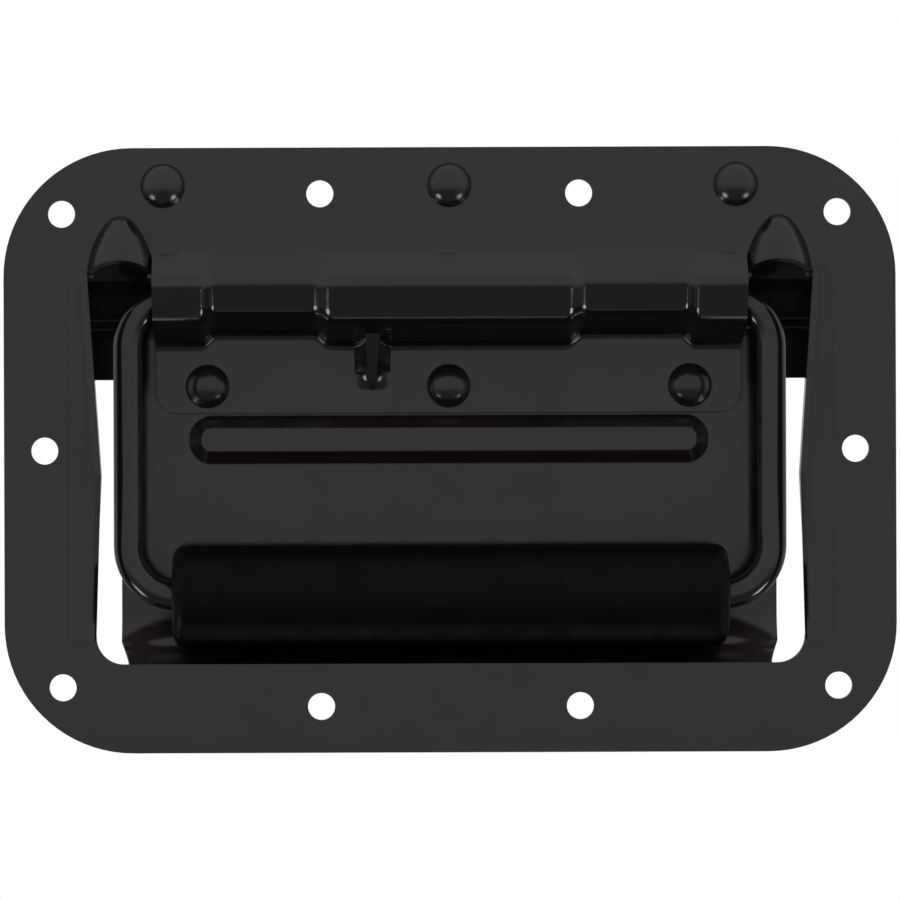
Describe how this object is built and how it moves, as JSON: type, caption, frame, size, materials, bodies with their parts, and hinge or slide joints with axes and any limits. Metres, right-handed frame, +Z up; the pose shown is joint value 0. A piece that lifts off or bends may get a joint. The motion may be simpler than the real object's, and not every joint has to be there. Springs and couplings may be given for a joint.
{
  "type": "recessed pull handle",
  "caption": "Recessed pull handle with a flanged pressed-steel dish and a rubber-gripped wire bail that swings out of a riveted hinge barrel and springs shut.",
  "frame": {"origin": "centre of the corner hole pattern on the flange's back face, which lies against the panel", "axes": "+X right along the long side, +Z up towards the hinge, -Y out of the panel towards the user"},
  "size_m": [0.1778, 0.0232, 0.1206],
  "materials": {
    "black_coated_frame": "gloss black coating",
    "black_coated_dish": "gloss black coating",
    "black_coated_rod": "gloss black coating",
    "grip_rubber": "satin",
    "spring_steel": "oiled",
    "rivet_steel": "gloss black coating"
  },
  "bodies": {
    "base": {"front_frame": "black_coated_frame", "back_plate": "black_coated_dish", "torsion_spring": "spring_steel", "rivet_upper_left": "rivet_steel", "rivet_upper_centre": "rivet_steel", "rivet_upper_right": "rivet_steel", "rivet_lower_left": "rivet_steel", "rivet_lower_centre": "rivet_steel", "rivet_lower_right": "rivet_steel"},
    "bail": {"bail": "black_coated_rod", "grip": "grip_rubber"}
  },
  "joints": [
    {"name": "bail_hinge", "type": "hinge", "parent": "base", "child": "bail", "pos_m": [0, 0.0018, 0.0305], "axis": [-1, 0, 0], "range_deg": [0, 110], "stiffness_Nm_per_rad": 0.06, "springref_deg": -40.11, "deforming": ["torsion_spring"]}
  ]
}
